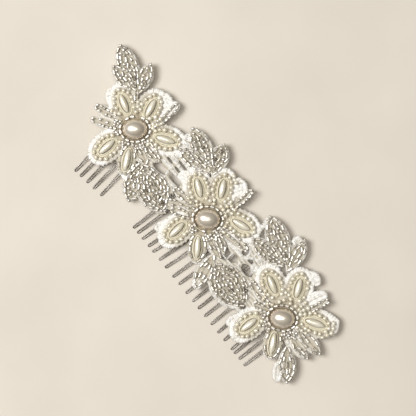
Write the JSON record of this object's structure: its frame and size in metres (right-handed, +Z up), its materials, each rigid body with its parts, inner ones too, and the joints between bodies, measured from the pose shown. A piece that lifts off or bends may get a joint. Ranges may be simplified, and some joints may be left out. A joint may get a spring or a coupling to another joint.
{
  "type": "decorative hair comb",
  "caption": "Bridal hair comb: white lace flowers with ivory pearls and silver-lined beads, sewn over two silver wire combs.",
  "frame": {"origin": "under the middle of the comb's bounding box, on the surface that it lies on", "axes": "+X along the row of three flowers, from the short wire comb's end; +Y to the decorated edge, with the teeth pointing to -Y; +Z up through the decorated side"},
  "size_m": [0.1494, 0.0566, 0.0085],
  "materials": {
    "silver_wire": "silver-plated wire, slightly dulled",
    "white_lace": "corded white guipure lace",
    "ivory_pearl": "ivory imitation pearl",
    "champagne_pearl": "champagne imitation pearl, high gloss",
    "silver_bead": "silver-lined clear glass beads"
  },
  "bodies": {
    "root": {"long_comb_spine": "silver_wire", "long_comb_tooth_01": "silver_wire", "long_comb_tooth_02": "silver_wire", "long_comb_tooth_03": "silver_wire", "long_comb_tooth_04": "silver_wire", "long_comb_tooth_05": "silver_wire", "long_comb_tooth_06": "silver_wire", "long_comb_tooth_07": "silver_wire", "long_comb_tooth_08": "silver_wire", "long_comb_tooth_09": "silver_wire", "long_comb_tooth_10": "silver_wire", "long_comb_tooth_11": "silver_wire", "long_comb_tooth_12": "silver_wire", "long_comb_tooth_13": "silver_wire", "long_comb_tooth_14": "silver_wire", "long_comb_tooth_15": "silver_wire", "long_comb_tooth_16": "silver_wire", "long_comb_tooth_17": "silver_wire", "long_comb_tooth_18": "silver_wire", "long_comb_tooth_19": "silver_wire", "long_comb_tooth_20": "silver_wire", "short_comb_spine": "silver_wire", "short_comb_tooth_1": "silver_wire", "short_comb_tooth_2": "silver_wire", "short_comb_tooth_3": "silver_wire", "short_comb_tooth_4": "silver_wire", "short_comb_tooth_5": "silver_wire", "lace_applique": "white_lace", "flower_1_centre_pearl": "champagne_pearl", "flower_1_long_pearl_1": "ivory_pearl", "flower_1_long_pearl_2": "ivory_pearl", "flower_1_long_pearl_3": "ivory_pearl", "flower_1_long_pearl_4": "ivory_pearl", "flower_1_long_pearl_5": "ivory_pearl", "flower_1_silver_beads": "silver_bead", "flower_1_seed_pearls": "ivory_pearl", "flower_2_centre_pearl": "champagne_pearl", "flower_2_long_pearl_1": "ivory_pearl", "flower_2_long_pearl_2": "ivory_pearl", "flower_2_long_pearl_3": "ivory_pearl", "flower_2_long_pearl_4": "ivory_pearl", "flower_2_long_pearl_5": "ivory_pearl", "flower_2_silver_beads": "silver_bead", "flower_2_seed_pearls": "ivory_pearl", "flower_3_centre_pearl": "champagne_pearl", "flower_3_long_pearl_1": "ivory_pearl", "flower_3_long_pearl_2": "ivory_pearl", "flower_3_long_pearl_3": "ivory_pearl", "flower_3_long_pearl_4": "ivory_pearl", "flower_3_long_pearl_5": "ivory_pearl", "flower_3_silver_beads": "silver_bead", "flower_3_seed_pearls": "ivory_pearl", "leaf_beads_1": "silver_bead", "leaf_beads_2": "silver_bead", "leaf_beads_3": "silver_bead", "leaf_beads_4": "silver_bead", "leaf_beads_5": "silver_bead", "leaf_beads_6": "silver_bead"}
  },
  "joints": []
}
